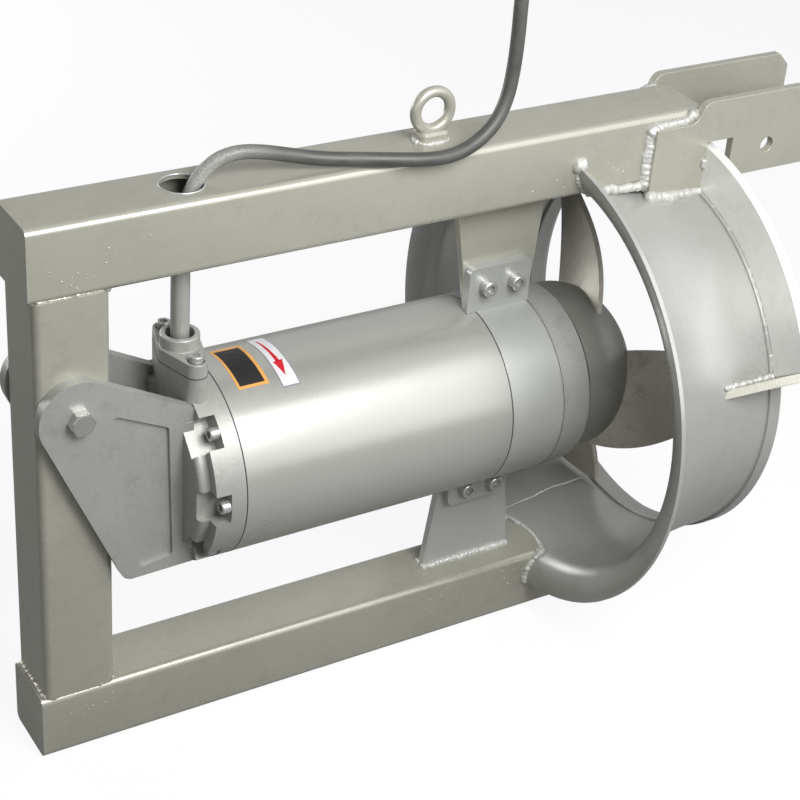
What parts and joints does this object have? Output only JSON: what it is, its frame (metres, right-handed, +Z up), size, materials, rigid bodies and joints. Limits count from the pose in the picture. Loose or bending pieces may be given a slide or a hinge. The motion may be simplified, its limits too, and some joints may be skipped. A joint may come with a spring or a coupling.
{
  "type": "submersible sludge return pump",
  "caption": "Submersible axial pump: a cylindrical motor turns a bladed impeller in a short bell-mouth duct, hung in a welded square-tube frame with two slotted hanger arms.",
  "frame": {"origin": "centre of the hanger bore through the two arms", "axes": "+X along the pump axis with the flow, +Y along the hanger bore, +Z up"},
  "size_m": [0.995, 0.566, 0.922],
  "materials": {
    "frame_paint": "satin aluminium paint over rolled steel",
    "duct_paint": "satin aluminium paint",
    "casting_paint": "aluminium paint over a sand-cast skin",
    "motor_paint": "smooth semi-gloss aluminium paint",
    "impeller_paint": "aluminium paint, duller",
    "stainless_fastener": "bright",
    "machined_steel": "ground",
    "bearing_steel": "polished",
    "seal_rubber": "matt",
    "seal_ring": "lapped",
    "core_laminations": "stacked sheet",
    "winding_copper": "varnished",
    "rotor_aluminium": "cast",
    "terminal_plastic": "moulded",
    "cable_rubber": "matt"
  },
  "bodies": {
    "root": {"top_beam": "frame_paint", "bottom_beam": "frame_paint", "rear_post": "frame_paint", "beam_end_caps": "frame_paint", "front_hanger_arm": "frame_paint", "rear_hanger_arm": "frame_paint", "lifting_eye": "frame_paint", "outlet_flange_plate": "frame_paint", "flange_gussets": "frame_paint", "upper_support_plate": "frame_paint", "lower_support_plate": "frame_paint", "bell_mouth": "duct_paint", "outlet_ring": "duct_paint", "rear_cover": "casting_paint", "front_housing": "casting_paint", "oil_chamber_cover": "casting_paint", "gland_flange": "casting_paint", "rear_bearing_bracket": "casting_paint", "motor_tube": "motor_paint", "cable_sleeve": "motor_paint", "pivot_bolt": "stainless_fastener", "pivot_washer": "stainless_fastener", "pivot_nut": "stainless_fastener", "rear_cover_screws": "stainless_fastener", "gland_screws": "stainless_fastener", "front_housing_screws": "stainless_fastener", "lug_screws": "stainless_fastener", "lug_nuts": "stainless_fastener", "oil_chamber_screws": "stainless_fastener", "oil_plug": "stainless_fastener", "cable_grip": "machined_steel", "rear_bearing_outer_race": "bearing_steel", "rear_bearing_balls": "bearing_steel", "front_bearing_outer_race": "bearing_steel", "front_bearing_balls": "bearing_steel", "rear_cover_seal": "seal_rubber", "front_housing_seal": "seal_rubber", "oil_cover_seal": "seal_rubber", "gland_packing": "seal_rubber", "inner_seal_seat": "seal_ring", "outer_seal_seat": "seal_ring", "stator_core": "core_laminations", "stator_windings": "winding_copper", "terminal_block": "terminal_plastic", "power_cable": "cable_rubber", "cable_lead": "cable_rubber"},
    "rotor": {"shaft": "machined_steel", "rotor_core": "core_laminations", "rotor_end_rings": "rotor_aluminium", "rear_bearing_inner_race": "bearing_steel", "front_bearing_inner_race": "bearing_steel", "inner_seal_ring": "seal_ring", "outer_seal_ring": "seal_ring", "impeller_hub": "impeller_paint", "impeller_blades": "impeller_paint", "impeller_key": "machined_steel", "impeller_washer": "stainless_fastener", "impeller_bolt": "stainless_fastener"}
  },
  "joints": [
    {"name": "impeller_spin", "type": "hinge", "parent": "root", "child": "rotor", "pos_m": [-0.248, 0, -0.266], "axis": [1, 0, 0], "continuous": true}
  ]
}
